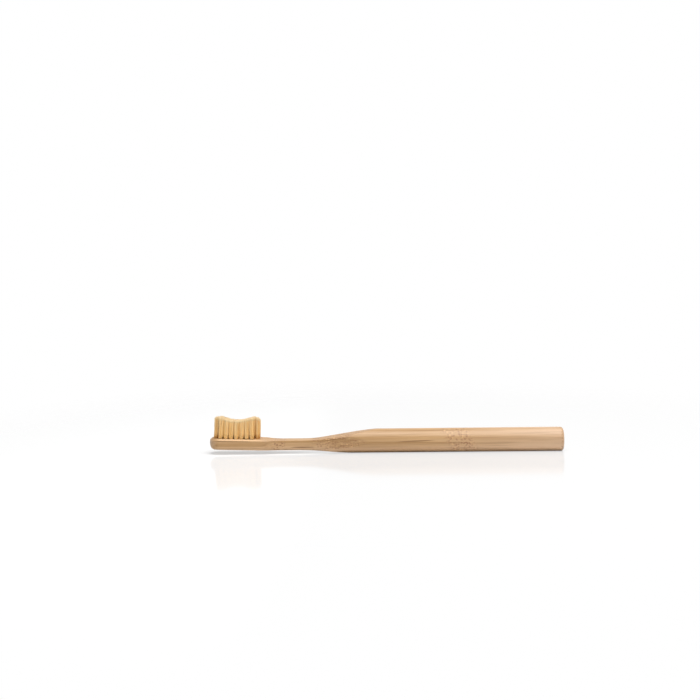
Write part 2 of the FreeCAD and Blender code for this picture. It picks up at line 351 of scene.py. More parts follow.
def tuft_field_tree(bristles):
    """One point for each tuft, round the middle of the field, with the four corners left empty."""
    tree, add, size = new_tree("Tuft field", own_sizes(bristles, *FIELD_SIZES))
    place = add("ShaderNodeSeparateXYZ", [add("GeometryNodeInputPosition")]).outputs
    spans = []
    outermost = []
    for count, pitch, axis in (("Columns", "Column pitch", "X"), ("Rows", "Row pitch", "Y")):
        gaps = add("ShaderNodeMath", [size[count], 1], operation="SUBTRACT")
        span = add("ShaderNodeMath", [gaps, size[pitch]], operation="MULTIPLY")
        edge = add("ShaderNodeMath", [span, 0.5, -EDGE_TOLERANCE], operation="MULTIPLY_ADD")
        out = add("ShaderNodeMath", [place[axis]], operation="ABSOLUTE")
        spans.append(span)
        outermost.append(add("ShaderNodeMath", [out, edge], operation="GREATER_THAN"))
    grid = add("GeometryNodeMeshGrid", [*spans, size["Columns"], size["Rows"]])
    corner = add("ShaderNodeMath", outermost, operation="MULTIPLY")
    kept = add("GeometryNodeDeleteGeometry", [grid, corner], domain="POINT")
    add("NodeGroupOutput", [add("GeometryNodeMeshToPoints", [kept])])
    return tree


def field_points(add, field, size):
    """The points of the tuft field, made from this tree's inputs of the same names."""
    labels = [item.name for item in field.interface.items_tree if item.in_out == "INPUT"]
    return add("GeometryNodeGroup", {label: size[label] for label in labels}, node_tree=field)


def seated(add, geometry, size):
    """Moves what was made round the middle of the tuft field onto the canted head."""
    on_face = add("ShaderNodeCombineXYZ", [size["Field from heel"], 0.0, size["Head thickness"]])
    level = add("GeometryNodeTransform", [geometry, on_face])
    cant = add("ShaderNodeCombineXYZ", [0.0, size["Head cant"], 0.0])
    heel = add("ShaderNodeCombineXYZ", [size["Heel place"], 0.0, size["Heel height"]])
    return add("GeometryNodeTransform", [level, heel, cant])


# How finely the stick is drawn, and how its mesh crowds towards the four corners of its section
STICK_RINGS = 321
STICK_POINTS_ROUND = 193
SECTION_CORNERS = 4
CORNER_CROWDING = 0.5

# How softly the surfaces of the stick run into each other
CUT_BLEND = 1.0 * MM
SIDE_BLEND = 0.4 * MM
CANT_BLEND = 0.2 * MM
ROUND_BLEND = 0.1 * MM
FLAT_BLEND = 0.25 * MM
BEVEL_BLEND = 0.2 * MM

# How far a cut runs on past the round, and the rounding of the head's nose as seen from the side
CUT_OVERRUN = 2.0 * MM
NOSE_FACE_RADIUS = 1.6 * MM
NOSE_BACK_RADIUS = 2.7 * MM

# The sanding changes from the back's to the front's between this share of the way down and of the way up
SANDING_CHANGE = 0.3

# The least that a length is divided by, the distance at which points count as one, and a hole's sides
LEAST_SHARE = 0.0001
MERGE_DISTANCE = 0.0002 * MM
HOLE_SIDES = 28


def handle_sizes(handle, bristles):
    """The inputs of the handle's tree."""
    radius = handle.grip_diameter / 2
    axis_height = math.sqrt(radius ** 2 - (handle.flat_width / 2) ** 2)
    settled = handle.head_length + handle.cant_settle / 2
    return {
        **seat_sizes(handle, bristles),
        **own_sizes(handle, "overall_length", "rim_radius", "head_length", "neck_thickness", "neck_height",
                    "front_cut_start", "front_cut_end", "side_cut_start", "side_cut_end",
                    "back_cut_start", "back_cut_end", "face_bevel", "neck_bevel", "shoulder_bevel",
                    "front_softness", "back_softness"),
        "Tip place": cad_low.x,
        "Grip radius": radius,
        "Axis height": axis_height,
        "Grip top": axis_height + radius,
        "Head half width": handle.head_width / 2,
        "Cant settled": settled,
        "Tip lift": math.tan(handle.head_cant) * settled,
        "Waist end": handle.head_length + handle.waist_length,
        "Neck half width": handle.neck_width / 2,
        "Neck top": handle.neck_height + handle.neck_thickness,
        "Hole radius": bristles.hole_diameter / 2,
        "Hole depth": bristles.hole_depth,
    }


def quarter_round(add, share):
    """The height of a quarter circle of radius one, this share of the way from its middle to its end."""
    square = add("ShaderNodeMath", [share, share], operation="MULTIPLY")
    left = add("ShaderNodeMath", [1.0, square], operation="SUBTRACT")
    return add("ShaderNodeMath", [left], operation="SQRT")


def along_ray(add, away, share):
    """How far along a ray a plane at this distance lies, by the share of the ray that heads towards it."""
    some_share = add("ShaderNodeMath", [share, LEAST_SHARE], operation="MAXIMUM")
    return add("ShaderNodeMath", [away, some_share], operation="DIVIDE")


def handle_tree(sizes, field, material):
    """The stick as a rule: a round rod with a flat planed on its back, cut down at the front, back and
    sides to the neck and head. Each point lies on a ray from the middle of its section, at the nearest
    of those surfaces, with the edges between them sanded soft."""
    tree, add, size = new_tree("Bamboo stick", sizes)
    grid = add("GeometryNodeMeshGrid", [1.0, 1.0, STICK_RINGS, STICK_POINTS_ROUND])
    grid_place = add("ShaderNodeSeparateXYZ", [add("GeometryNodeInputPosition")]).outputs

    # Distance from the tip, with the rings crowded at the tip and at the butt
    share = add("ShaderNodeMath", [grid_place["X"], 0.5], operation="ADD")
    swing = add("ShaderNodeMath", [share, FULL_TURN], operation="MULTIPLY")
    swell = add("ShaderNodeMath", [swing], operation="SINE")
    eased = add("ShaderNodeMath", [swell, -1 / FULL_TURN, share], operation="MULTIPLY_ADD")
    reach = add("ShaderNodeMath", [eased, size["Overall length"]], operation="MULTIPLY")

    # Turn round the section, with the points crowded at its corners
    turn = add("ShaderNodeMath", [grid_place["Y"], -FULL_TURN], operation="MULTIPLY")
    corner_turn = add("ShaderNodeMath", [turn, SECTION_CORNERS], operation="MULTIPLY")
    bunch = add("ShaderNodeMath", [corner_turn], operation="SINE")
    bearing = add("ShaderNodeMath",
                  [bunch, CORNER_CROWDING / SECTION_CORNERS, turn], operation="MULTIPLY_ADD")
    aside = add("ShaderNodeMath", [bearing], operation="COSINE")
    upward = add("ShaderNodeMath", [bearing], operation="SINE")

    # Over the waist, the head's thickness, half width and bevel change to the neck's
    thickness, waist, face_bevel = [
        add("ShaderNodeMapRange",
            [reach, size["Head length"], size["Waist end"], size[at_head], size[at_neck]],
            interpolation_type="SMOOTHSTEP")
        for at_head, at_neck in (("Head thickness", "Neck thickness"),
                                 ("Head half width", "Neck half width"),
                                 ("Face bevel", "Neck bevel"))]

    # Front and back of the head and neck, with the head's cant and the rounding of its nose
    cant = add("ShaderNodeMapRange",
               [reach, 0.0, size["Cant settled"], size["Tip lift"], 0.0], clamp=False)
    lift = add("ShaderNodeMath", [cant, 0.0, CANT_BLEND], operation="SMOOTH_MAX")
    plain_back = add("ShaderNodeMath", [lift, size["Neck height"]], operation="ADD")
    plain_front = add("ShaderNodeMath", [plain_back, thickness], operation="ADD")
    nosed = []
    for plain, nose_radius, inward in ((plain_front, NOSE_FACE_RADIUS, "SUBTRACT"),
                                       (plain_back, NOSE_BACK_RADIUS, "ADD")):
        to_nose = add("ShaderNodeMapRange", [reach, 0.0, nose_radius, 1.0, 0.0])
        drop = add("ShaderNodeMath",
                   [quarter_round(add, to_nose), -nose_radius, nose_radius], operation="MULTIPLY_ADD")
        nosed.append(add("ShaderNodeMath", [plain, drop], operation=inward))
    nosed_front, nosed_back = nosed

    # The slanting cuts, which run on past the round so that it alone bounds the grip
    bounds = []
    for cut, plain, at_neck, at_grip, blend, join, hold, overrun in (
            ("Front", nosed_front, size["Neck top"], size["Grip top"],
             CUT_BLEND, "SMOOTH_MAX", "MINIMUM", CUT_OVERRUN),
            ("Back", nosed_back, size["Neck height"], 0.0,
             CUT_BLEND, "SMOOTH_MIN", "MAXIMUM", -CUT_OVERRUN),
            ("Side", waist, size["Neck half width"], size["Grip radius"],
             SIDE_BLEND, "SMOOTH_MAX", "MINIMUM", CUT_OVERRUN)):
        slant = add("ShaderNodeMapRange",
                    [reach, size[cut + " cut start"], size[cut + " cut end"], at_neck, at_grip],
                    clamp=False)
        joined = add("ShaderNodeMath", [plain, slant, blend], operation=join)
        furthest = add("ShaderNodeMath", [at_grip, overrun], operation="ADD")
        bounds.append(add("ShaderNodeMath", [joined, furthest], operation=hold))
    front, back, side = bounds

    # The head's round tip in plan, and the butt's rounded rim
    to_tip = add("ShaderNodeMapRange", [reach, 0.0, size["Head half width"], 1.0, 0.0])
    half_width = add("ShaderNodeMath", [side, quarter_round(add, to_tip)], operation="MULTIPLY")
    rim_radius = size["Butt rim radius"]
    rim_start = add("ShaderNodeMath", [size["Overall length"], rim_radius], operation="SUBTRACT")
    to_butt = add("ShaderNodeMapRange", [reach, rim_start, size["Overall length"], 0.0, 1.0])
    end_radius = add("ShaderNodeMath", [size["Grip radius"], rim_radius], operation="SUBTRACT")
    radius = add("ShaderNodeMath",
                 [quarter_round(add, to_butt), rim_radius, end_radius], operation="MULTIPLY_ADD")

    # The ray from the middle of the section, and how far along it the front, back and sides lie
    both = add("ShaderNodeMath", [front, back], operation="ADD")
    middle = add("ShaderNodeMath", [both, 0.5], operation="MULTIPLY")
    half_height = add("ShaderNodeMath", [front, middle], operation="SUBTRACT")
    ray_y = add("ShaderNodeMath", [half_width, aside], operation="MULTIPLY")
    ray_z = add("ShaderNodeMath", [half_height, upward], operation="MULTIPLY")
    ray = add("ShaderNodeCombineXYZ", [0.0, ray_y, ray_z])
    ray_length = add("ShaderNodeVectorMath", [ray], operation="LENGTH")
    heading = add("ShaderNodeVectorMath", [ray], operation="NORMALIZE")
    heading_part = add("ShaderNodeSeparateXYZ", [heading]).outputs
    to_planes = []
    for part in (aside, upward):
        part_share = add("ShaderNodeMath", [part], operation="ABSOLUTE")
        to_planes.append(along_ray(add, ray_length, part_share))
    softness = add("ShaderNodeMapRange",
                   [upward, -SANDING_CHANGE, SANDING_CHANGE,
                    size["Back edge softness"], size["Front edge softness"]])
    square = add("ShaderNodeMath", [*to_planes, softness], operation="SMOOTH_MIN")

    # The bevel along the edges of the front, wide round the head's face and along the shoulder
    cut_bevel = add("ShaderNodeMapRange",
                    [reach, size["Front cut start"], size["Front cut end"], 0.0, size["Shoulder bevel"]])
    bevel = add("ShaderNodeMath", [face_bevel, cut_bevel], operation="ADD")
    both_halves = add("ShaderNodeMath", [half_width, half_height], operation="ADD")
    bevelled = add("ShaderNodeMath", [both_halves, bevel], operation="SUBTRACT")
    to_bevel_edge = add("ShaderNodeMath", [bevelled, half_height], operation="MAXIMUM")
    heading_aside = add("ShaderNodeMath", [heading_part["Y"]], operation="ABSOLUTE")
    heading_sum = add("ShaderNodeMath", [heading_aside, heading_part["Z"]], operation="ADD")
    to_bevel = along_ray(add, to_bevel_edge, heading_sum)
    boxed = add("ShaderNodeMath", [square, to_bevel, BEVEL_BLEND], operation="SMOOTH_MIN")

    # How far along the ray the round of the rod lies, and the flat along its back
    off_axis = add("ShaderNodeMath", [size["Axis height"], middle], operation="SUBTRACT")
    off_along = add("ShaderNodeMath", [off_axis, heading_part["Z"]], operation="MULTIPLY")
    off_aside = add("ShaderNodeMath", [off_axis, heading_part["Y"]], operation="MULTIPLY")
    off_square = add("ShaderNodeMath", [off_aside, off_aside], operation="MULTIPLY")
    radius_square = add("ShaderNodeMath", [radius, radius], operation="MULTIPLY")
    chord_square = add("ShaderNodeMath", [radius_square, off_square], operation="SUBTRACT")
    chord = add("ShaderNodeMath", [chord_square], operation="SQRT")
    to_round = add("ShaderNodeMath", [off_along, chord], operation="ADD")
    rounded = add("ShaderNodeMath", [boxed, to_round, ROUND_BLEND], operation="SMOOTH_MIN")
    downward = add("ShaderNodeMath", [heading_part["Z"], -1.0], operation="MULTIPLY")
    to_flat = along_ray(add, middle, downward)
    planed = add("ShaderNodeMath", [rounded, to_flat, FLAT_BLEND], operation="SMOOTH_MIN")

    # The first and last rings shrink to a point, which closes the tip and the butt
    from_middle = add("ShaderNodeMath", [grid_place["X"]], operation="ABSOLUTE")
    before_end = add("ShaderNodeMath", [from_middle, 0.5 - LEAST_SHARE], operation="LESS_THAN")
    distance = add("ShaderNodeMath", [planed, before_end], operation="MULTIPLY")
    outward = add("ShaderNodeVectorMath", {"Vector": heading, "Scale": distance}, operation="SCALE")
    spine_x = add("ShaderNodeMath", [reach, size["Tip place"]], operation="ADD")
    spine = add("ShaderNodeCombineXYZ", [spine_x, 0.0, middle])
    place = add("ShaderNodeVectorMath", [spine, outward], operation="ADD")
    skin = add("GeometryNodeSetPosition", {"Geometry": grid, "Position": place})
    closed = add("GeometryNodeMergeByDistance", {"Geometry": skin, "Distance": MERGE_DISTANCE})
    smooth = add("GeometryNodeSetShadeSmooth", [closed])

    # A hole for each tuft, drilled by a rod that stands half its length above the face
    tall = add("ShaderNodeMath", [size["Hole depth"], 2.0], operation="MULTIPLY")
    drill = add("GeometryNodeMeshCylinder",
                {"Vertices": HOLE_SIDES, "Radius": size["Hole radius"], "Depth": tall})
    drills = add("GeometryNodeInstanceOnPoints",
                 {"Points": field_points(add, field, size), "Instance": drill})
    holes = seated(add, add("GeometryNodeRealizeInstances", [drills]), size)
    drilled = add("GeometryNodeMeshBoolean", [smooth, holes], operation="DIFFERENCE", solver="MANIFOLD")
    finished = add("GeometryNodeSetMaterial", {"Geometry": drilled, "Material": material})
    add("NodeGroupOutput", [finished])
    return tree


# One bristle: six sides, and rings that crowd towards the rounded tip
FILAMENT_SIDES = 6
FILAMENT_RINGS = 6
RING_CROWDING = 2.5

# The rounding starts at this share of the bristle's length and narrows it to this share of its thickness
TIP_START = 0.985
TIP_SHARE = 0.45

# Splay grows fast at the root and sway slowly, and the trim's crests are narrower than its valley
SPLAY_POWER = 0.42
SWAY_POWER = 1.6
CREST_POWER = 1.6


def bristle_sizes(handle, bristles):
    """The inputs of the bristles' tree. Places of the trim are measured from the middle of the field."""
    half_long = bristles.column_pitch * (bristles.columns - 1) / 2
    half_wide = bristles.row_pitch * (bristles.rows - 1) / 2
    hole_radius = bristles.hole_diameter / 2
    middle = bristles.toe_margin + half_long
    return {
        **seat_sizes(handle, bristles),
        **own_sizes(bristles, "filaments", "root_depth", "crest_length", "valley_length",
                    "shoulder_radius", "flare", "lean", "sway", "unevenness", "seed"),
        "Filament radius": bristles.filament_diameter / 2,
        "Tuft radius": (bristles.hole_diameter - bristles.filament_diameter) / 2,
        "Toe crest": bristles.toe_crest - middle,
        "Heel crest": bristles.heel_crest - middle,
        "Toe shoulder": bristles.toe_shoulder - middle,
        "Heel shoulder": bristles.heel_shoulder - middle,
        "Squeeze along": -bristles.flare / (half_long + hole_radius),
        "Squeeze across": -bristles.flare / (half_wide + hole_radius),
    }


def bristle_tree(sizes, field, material):
    """Every bristle of every tuft: set out in a sunflower spiral at its hole, splayed, swayed a little
    and trimmed to the wave that runs along the head."""
    tree, add, size = new_tree("Nylon bristles", sizes)
    position = add("GeometryNodeInputPosition")
    numbered = add("GeometryNodeStoreNamedAttribute",
                   {"Geometry": field_points(add, field, size), "Name": "tuft",
                    "Value": add("GeometryNodeInputIndex")}, data_type="INT")
    many = add("GeometryNodeDuplicateElements",
               {"Geometry": numbered, "Amount": size["Filaments"]}, domain="POINT")
    number = many.outputs["Duplicate Index"]
    tuft = add("GeometryNodeInputNamedAttribute", ["tuft"], data_type="INT")

    # Sunflower spiral round the middle of the tuft
    counted = add("ShaderNodeMath", [number, 0.5], operation="ADD")
    filled = add("ShaderNodeMath", [counted, size["Filaments"]], operation="DIVIDE")
    out = add("ShaderNodeMath", [filled], operation="SQRT")
    start = add("FunctionNodeRandomValue",
                {NUMBER_FROM: 0.0, NUMBER_TO: FULL_TURN, "ID": tuft, "Seed": size["Seed"]},
                data_type="FLOAT")
    spin = add("ShaderNodeMath", [number, GOLDEN_TURN, start], operation="MULTIPLY_ADD")
    sides = []
    for operation in ("COSINE", "SINE"):
        swing = add("ShaderNodeMath", [spin], operation=operation)
        sides.append(add("ShaderNodeMath", [swing, out], operation="MULTIPLY"))
    spread = add("ShaderNodeCombineXYZ", sides)

    # What differs from bristle to bristle and from tuft to tuft
    later_seed = add("ShaderNodeMath", [size["Seed"], 1], operation="ADD")
    stray = add("FunctionNodeRandomValue",
                {VECTOR_FROM: (-1.0, -1.0, 0.0), VECTOR_TO: (1.0, 1.0, 1.0), "Seed": size["Seed"]},
                data_type="FLOAT_VECTOR")
    lean = add("FunctionNodeRandomValue",
               {VECTOR_FROM: (-1.0, -1.0, 0.0), VECTOR_TO: (1.0, 1.0, 0.0),
                "ID": tuft, "Seed": later_seed}, data_type="FLOAT_VECTOR")
    sway = add("ShaderNodeVectorMath", [stray, lean], operation="ADD")
    tone = add("FunctionNodeRandomValue",
               {NUMBER_FROM: 0.0, NUMBER_TO: 1.0, "Seed": later_seed}, data_type="FLOAT")
    marked = many
    for label, value, kind in (("spread", spread, "FLOAT_VECTOR"), ("sway", sway, "FLOAT_VECTOR"),
                               ("tone", tone, "FLOAT")):
        marked = add("GeometryNodeStoreNamedAttribute",
                     {"Geometry": marked, "Name": label, "Value": value}, data_type=kind)
    from_middle = add("ShaderNodeVectorMath",
                      {"Vector": spread, "Scale": size["Tuft radius"]}, operation="SCALE")
    rooted = add("GeometryNodeSetPosition", {"Geometry": marked, "Offset": from_middle})

    # One bristle lying flat, with its height kept as a share from root to tip
    tube = add("GeometryNodeMeshCylinder",
               {"Vertices": FILAMENT_SIDES, "Side Segments": FILAMENT_RINGS,
                "Radius": size["Filament radius"], "Depth": 1.0})
    tube_height = add("ShaderNodeSeparateXYZ", [position]).outputs["Z"]
    below_top = add("ShaderNodeMath", [0.5, tube_height], operation="SUBTRACT")
    crowded = add("ShaderNodeMath", [below_top, RING_CROWDING], operation="POWER")
    height = add("ShaderNodeMath", [1.0, crowded], operation="SUBTRACT")
    measured = add("GeometryNodeStoreNamedAttribute",
                   {"Geometry": tube, "Name": "along", "Value": height}, data_type="FLOAT")
    along = add("GeometryNodeInputNamedAttribute", ["along"], data_type="FLOAT")
    narrowing = add("ShaderNodeMapRange", [along, TIP_START, 1.0, 1.0, TIP_SHARE])
    flat_scale = add("ShaderNodeCombineXYZ", [narrowing, narrowing, 0.0])
    flat_place = add("ShaderNodeVectorMath", [position, flat_scale], operation="MULTIPLY")
    filament = add("GeometryNodeSetPosition", {"Geometry": measured, "Position": flat_place})
    placed = add("GeometryNodeInstanceOnPoints", {"Points": rooted, "Instance": filament})
    real = add("GeometryNodeRealizeInstances", [placed])

    # How far the tip moves out: a tuft splays, less at the outside of the field, and each bristle strays
    kept_spread, kept_sway = [add("GeometryNodeInputNamedAttribute", [label], data_type="FLOAT_VECTOR")
                              for label in ("spread", "sway")]
    flared = add("ShaderNodeVectorMath",
                 {"Vector": kept_spread, "Scale": size["Flare"]}, operation="SCALE")
    squeeze = add("ShaderNodeCombineXYZ", [size["Squeeze along"], size["Squeeze across"], 0.0])
    leaning = add("ShaderNodeCombineXYZ", [size["Lean"], 0.0, 0.0])
    squeezed = add("ShaderNodeVectorMath", [position, squeeze, leaning], operation="MULTIPLY_ADD")
    splay = add("ShaderNodeVectorMath", [flared, squeezed], operation="ADD")
    drift = add("ShaderNodeVectorMath", {"Vector": kept_sway, "Scale": size["Sway"]}, operation="SCALE")
    tip_shift = add("ShaderNodeVectorMath", [splay, drift], operation="ADD")
    tip_place = add("ShaderNodeVectorMath", [position, tip_shift], operation="ADD")
    tip_x = add("ShaderNodeSeparateXYZ", [tip_place]).outputs["X"]

    # The length up to the trim over that tip: a wave that rounds off past its two shoulders
    wave = add("ShaderNodeMapRange", [tip_x, size["Toe crest"], size["Heel crest"], 0.0, FULL_TURN])
    crest = add("ShaderNodeMath", [wave], operation="COSINE")
    crest_share = add("ShaderNodeMapRange", [crest, -1.0, 1.0, 0.0, 1.0])
    narrowed = add("ShaderNodeMath", [crest_share, CREST_POWER], operation="POWER")
    waved = add("ShaderNodeMapRange", [narrowed, 0.0, 1.0, size["Valley length"], size["Crest length"]])
    held_x = add("ShaderNodeClamp", [tip_x, size["Toe shoulder"], size["Heel shoulder"]])
    beyond = add("ShaderNodeMath", [tip_x, held_x], operation="SUBTRACT")
    beyond_square = add("ShaderNodeMath", [beyond, beyond], operation="MULTIPLY")
    shoulder = add("ShaderNodeMath", [size["Shoulder radius"], 2.0], operation="MULTIPLY")
    fall = add("ShaderNodeMath", [beyond_square, shoulder], operation="DIVIDE")
    trim = add("ShaderNodeMath", [waved, fall], operation="SUBTRACT")
    own_share = add("ShaderNodeSeparateXYZ", [kept_sway]).outputs["Z"]
    short = add("ShaderNodeMath", [own_share, size["Trim unevenness"]], operation="MULTIPLY")
    length = add("ShaderNodeMath", [trim, short], operation="SUBTRACT")
    below = add("ShaderNodeMath", [size["Root depth"], -1.0], operation="MULTIPLY")
    rise = add("ShaderNodeMapRange", [along, 0.0, 1.0, below, length])

    # Splay and sway grow along the bristle
    shifts = []
    for shift, power in ((splay, SPLAY_POWER), (drift, SWAY_POWER)):
        grown = add("ShaderNodeMath", [along, power], operation="POWER")
        shifts.append(add("ShaderNodeVectorMath", {"Vector": shift, "Scale": grown}, operation="SCALE"))
    moved = add("ShaderNodeVectorMath", shifts, operation="ADD")
    moved_place = add("ShaderNodeVectorMath", [position, moved], operation="ADD")
    flat = add("ShaderNodeSeparateXYZ", [moved_place]).outputs
    place = add("ShaderNodeCombineXYZ", [flat["X"], flat["Y"], rise])
    standing = add("GeometryNodeSetPosition", {"Geometry": real, "Position": place})
    smooth = add("GeometryNodeSetShadeSmooth", [seated(add, standing, size)])
    finished = add("GeometryNodeSetMaterial", {"Geometry": smooth, "Material": material})
    add("NodeGroupOutput", [finished])
    return tree


def new_material(name):
    """A material with an empty tree, and the call that adds a node to it."""
    material = bpy.data.materials.new(name)
    material.use_nodes = True
    material.node_tree.nodes.clear()
    return material, partial(add_node, material.node_tree)


# Most values of a noise pattern lie between these
NOISE_RANGE = (0.3, 0.7)


def pattern(add, kind, place, grain, **feeds):
    """A texture whose grain measures this many millimetres along X, Y and Z."""
    scale = [1 / (size * MM) for size in grain]
    scaled = add("ShaderNodeMapping", {"Vector": place, "Scale": scale})
    return add(kind, {"Vector": scaled, "Scale": 1.0, **feeds})


# Bamboo: the grain of each pattern in millimetres along X, Y and Z. The bundles of fibre are drawn a little
# coarser than life so that they show.
WANDER_GRAIN = (40, 8, 8)
HONEY_GRAIN = (80, 1.6, 1.6)
BUNDLE_GRAIN = (26, 0.6, 0.6)
DARK_GRAIN = (50, 0.8, 0.8)
FLECK_GRAIN = (1.3, 0.52, 0.52)

# The values of each pattern between which it comes or goes, and the most that the sparse dark streaks show
HONEY_RANGE = (0.36, 0.66)
BUNDLE_RANGE = (0.12, 0.42)
DARK_RANGE = (0.60, 0.74)
DARK_SHARE = 0.7
FLECK_RANGE = (0.28, 0.55)

# Each fleck draws a number, which makes it dark above the first of these ranges and pale below the second
DARK_DRAW = (0.25, 0.45)
PALE_DRAW = (0.2, 0.1)

# How far a surface faces the tip or the butt: the range over which it comes to count as a cut, the one over
# which it turns paler, and the one over which its share as a cut goes down to the last number
CUT_RANGE = (0.03, 0.09)
FACING_END_RANGE = (0.25, 0.7)
CUT_END_RANGE = (0.25, 0.55)
CUT_END_SHARE = 0.2

# Patches of flecks right round the stick, at the node of the cane and where the neck starts. Each has its
# place along the stick where it meets the floor, the half length of its dense core, its half length, and
# how far it leans towards the head for its height.
FLECK_PATCHES = (
    (41.2 * MM, 4.2 * MM, 8.6 * MM, 0.55),
    (-54.0 * MM, 1.5 * MM, 4.5 * MM, 0.0),
)

# Past the neck, from the first of these places and in full from the second, every cut shows flecks
CUT_FLECKS_START = -54.0 * MM
CUT_FLECKS_FULL = -46.0 * MM

# Painted light: the stick is paler below the first height, and in full below the second, standing in for
# the light that the white floor throws up at its lower side
FLOOR_LIGHT_START = 4.8 * MM
FLOOR_LIGHT_FULL = 2.0 * MM

# The stick grows paler from the first of these places to the second
PALER_START = 20.0 * MM
PALER_FULL = 85.0 * MM

# How far the grain wanders from side to side, how high it stands and how strongly that shows
GRAIN_WANDER = 0.8 * MM
GRAIN_HEIGHT = 0.04 * MM
GRAIN_STRENGTH = 0.25

# Sanded bamboo: roughness where it is smoothest and dullest, and index of refraction
BAMBOO_ROUGHNESS = (0.4, 0.52)
BAMBOO_IOR = 1.5

# A streak fades from this share of its half lengths outwards
STREAK_CORE = 0.5

# Streaks that can be told apart: the middle and the half lengths along X, Y and Z in millimetres, the slope
# in degrees and the strength. The second is a dark line just under the bevel along the head's side, partly
# grain and partly painted shade under that edge. The last two dark ones are broad and faint: where the
# round grip starts, and along the grip's front side, where it is painted shade that darkens the middle of
# that side.
DARK_STREAKS_AND_SHADE = (
    ((15.0, -6.0, 6.3), (12.0, 2.0, 0.45), -2.2, 1.0),
    ((-77.5, -5.5, 6.9), (13.0, 2.0, 0.4), 1.5, 1.0),
    ((-42.0, -4.0, 3.3), (7.5, 2.0, 0.42), 0.0, 1.0),
    ((-24.3, -4.6, 7.6), (7.5, 2.0, 0.35), -8.0, 1.0),
    ((-3.0, -6.0, 7.0), (26.0, 16.0, 16.0), 0.0, 0.16),
    ((58.0, -6.0, 7.3), (34.0, 2.0, 1.6), 0.0, 0.2),
)
# A painted highlight along the bevel at the front of the head's face, given in the same way as the streaks
PAINTED_HIGHLIGHTS = (
    ((-76.0, -5.1, 7.45), (16.0, 1.4, 0.65), 1.5, 1.0),
)


def streaked(add, place, mask, streaks):
    """The mask, raised inside each of these streaks to that streak's strength."""
    for middle, reach, slope, strength in streaks:
        shares = add("ShaderNodeMapping",
                     {"Vector": place, "Location": [size * MM for size in middle],
                      "Rotation": (0.0, math.radians(slope), 0.0), "Scale": [size * MM for size in reach]},
                     vector_type="TEXTURE")
        away = add("ShaderNodeVectorMath", [shares], operation="LENGTH")
        inside = add("ShaderNodeMapRange",
                     [away, STREAK_CORE, 1.0, strength, 0.0], interpolation_type="SMOOTHSTEP")
        mask = add("ShaderNodeMath", [mask, inside], operation="MAXIMUM")
    return mask


